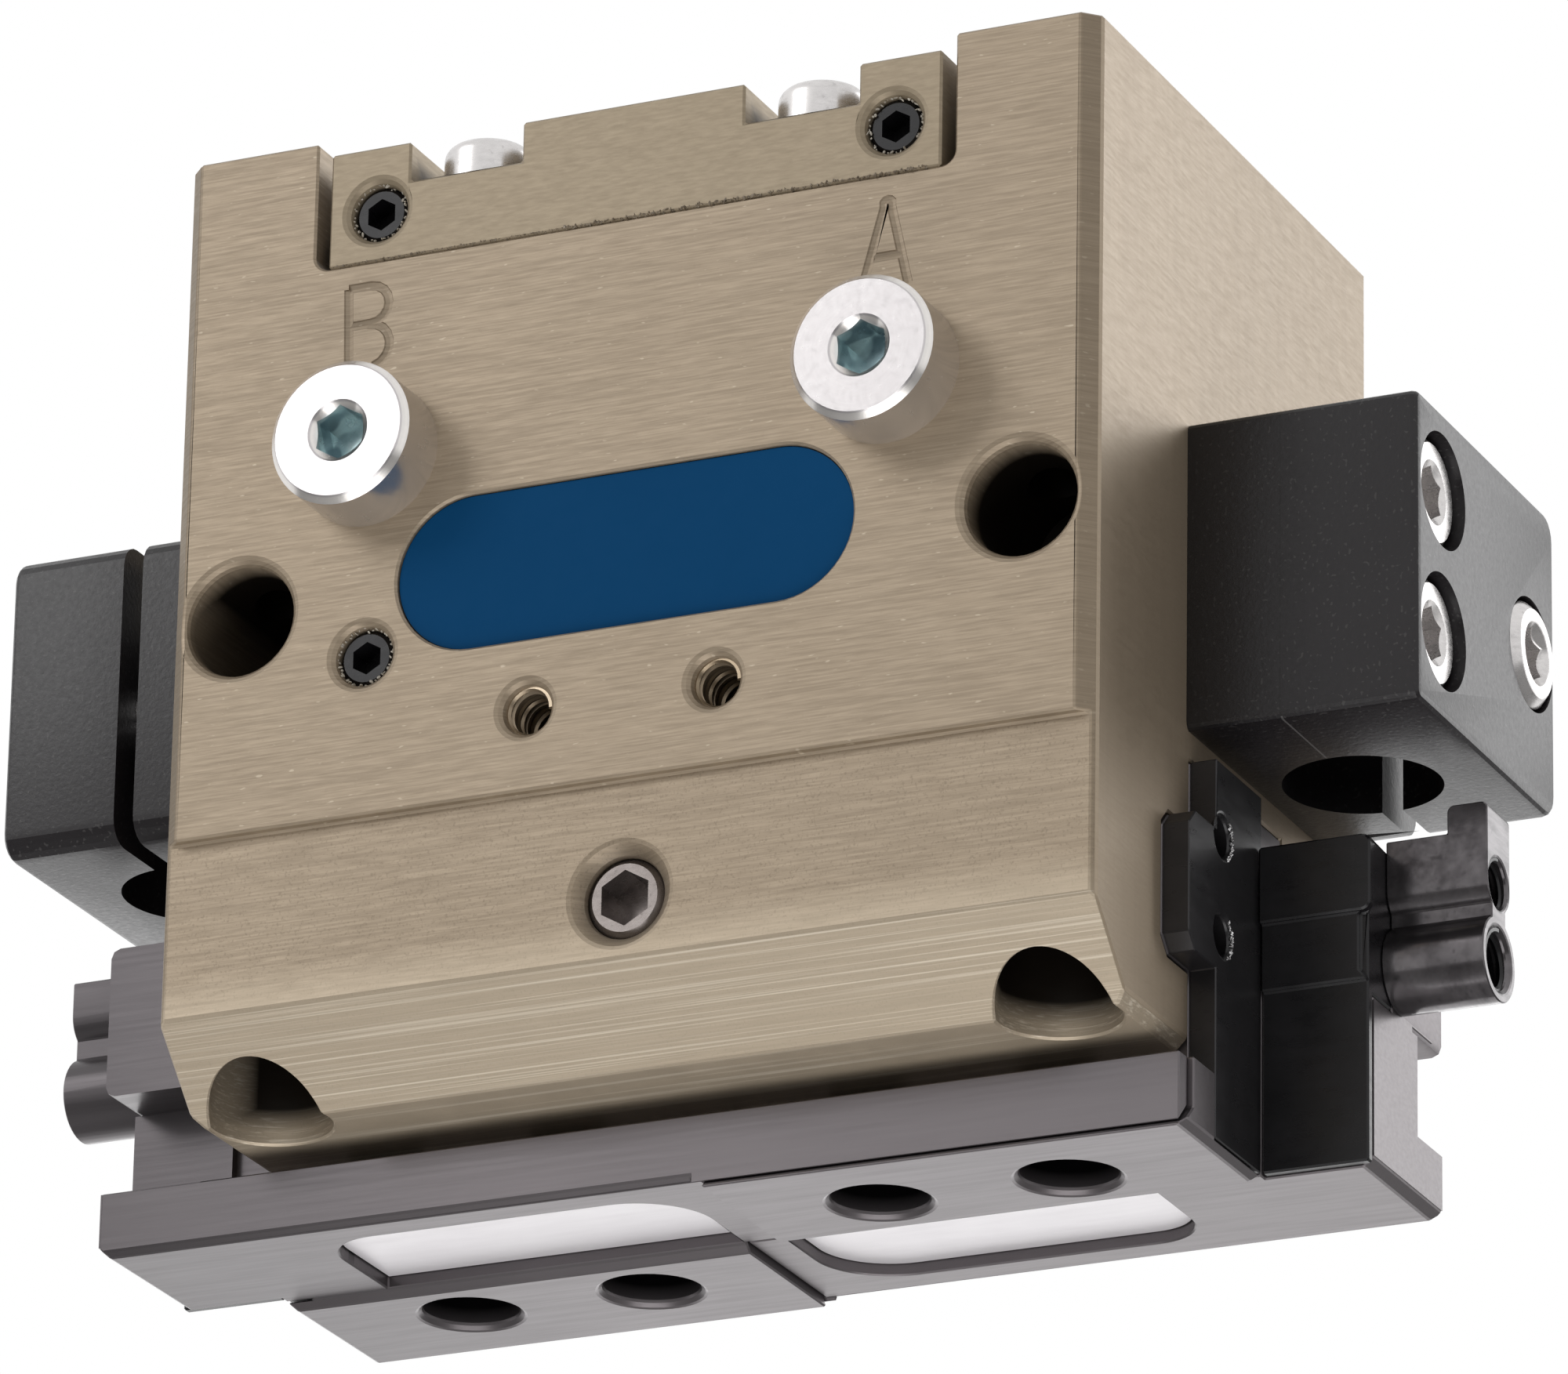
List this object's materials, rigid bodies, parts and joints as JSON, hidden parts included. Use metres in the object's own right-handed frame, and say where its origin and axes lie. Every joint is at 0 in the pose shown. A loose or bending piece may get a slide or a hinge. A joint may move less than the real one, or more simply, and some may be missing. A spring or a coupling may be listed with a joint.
{
  "type": "pneumatic parallel gripper",
  "caption": "Pneumatic parallel gripper: an oval piston pushes a wedge hook that slides interleaved jaws apart and together in a metal body with sensor brackets at its sides.",
  "frame": {"origin": "centre of the mounting face, between its four screw holes", "axes": "+Z points out of the mounting face, away from the jaws; +X is the direction in which the right jaw opens; -Y is the front with the two air ports"},
  "size_m": [0.0758, 0.0395, 0.0551],
  "materials": {
    "bronze_anodised": "tan hard-anodised aluminium with fine machining lines",
    "jaw_steel": "ground steel, satin",
    "bright_sheet": "bright sheet, satin",
    "blackened_steel": "blackened steel, satin",
    "bracket_plastic": "black moulded plastic with a fine grain",
    "zinc_screws": "zinc-plated steel",
    "label_blue": "blue sheet, bare",
    "seal_rubber": "black rubber",
    "piston_aluminium": "plain turned aluminium",
    "wedge_steel": "hardened ground steel"
  },
  "bodies": {
    "gripper_body": {"housing": "bronze_anodised", "cover_plate": "bronze_anodised", "cover_seal": "seal_rubber", "cover_screws": "zinc_screws", "port_plug_left": "zinc_screws", "port_plug_right": "zinc_screws", "channel_plugs": "zinc_screws", "stop_screw": "blackened_steel", "label_plate": "label_blue", "rod_seal": "seal_rubber", "right_sensor_bracket": "bracket_plastic", "left_sensor_bracket": "bracket_plastic", "bracket_screws": "zinc_screws", "clamp_screws": "zinc_screws"},
    "drive": {"piston": "piston_aluminium", "piston_seal": "seal_rubber", "piston_screw": "zinc_screws", "wedge_hook": "wedge_steel"},
    "jaw_right": {"right_jaw": "jaw_steel", "right_jaw_sheet": "bright_sheet", "right_end_plate": "blackened_steel", "right_cam_block": "blackened_steel", "right_control_cam": "blackened_steel"},
    "jaw_left": {"left_jaw": "jaw_steel", "left_jaw_sheet": "bright_sheet", "left_end_plate": "blackened_steel", "left_cam_block": "blackened_steel", "left_control_cam": "blackened_steel"}
  },
  "joints": [
    {"name": "piston_stroke", "type": "slide", "parent": "gripper_body", "child": "drive", "axis": [0, 0, 1], "range_m": [0, 0.00693]},
    {"name": "right_jaw_slide", "type": "slide", "parent": "gripper_body", "child": "jaw_right", "axis": [1, 0, 0], "range_m": [0, 0.004]},
    {"name": "left_jaw_slide", "type": "slide", "parent": "gripper_body", "child": "jaw_left", "axis": [-1, 0, 0], "range_m": [0, 0.004]}
  ],
  "couplings": [
    {"joint": "right_jaw_slide", "follows": "piston_stroke", "ratio": 0.57735},
    {"joint": "left_jaw_slide", "follows": "piston_stroke", "ratio": 0.57735}
  ]
}
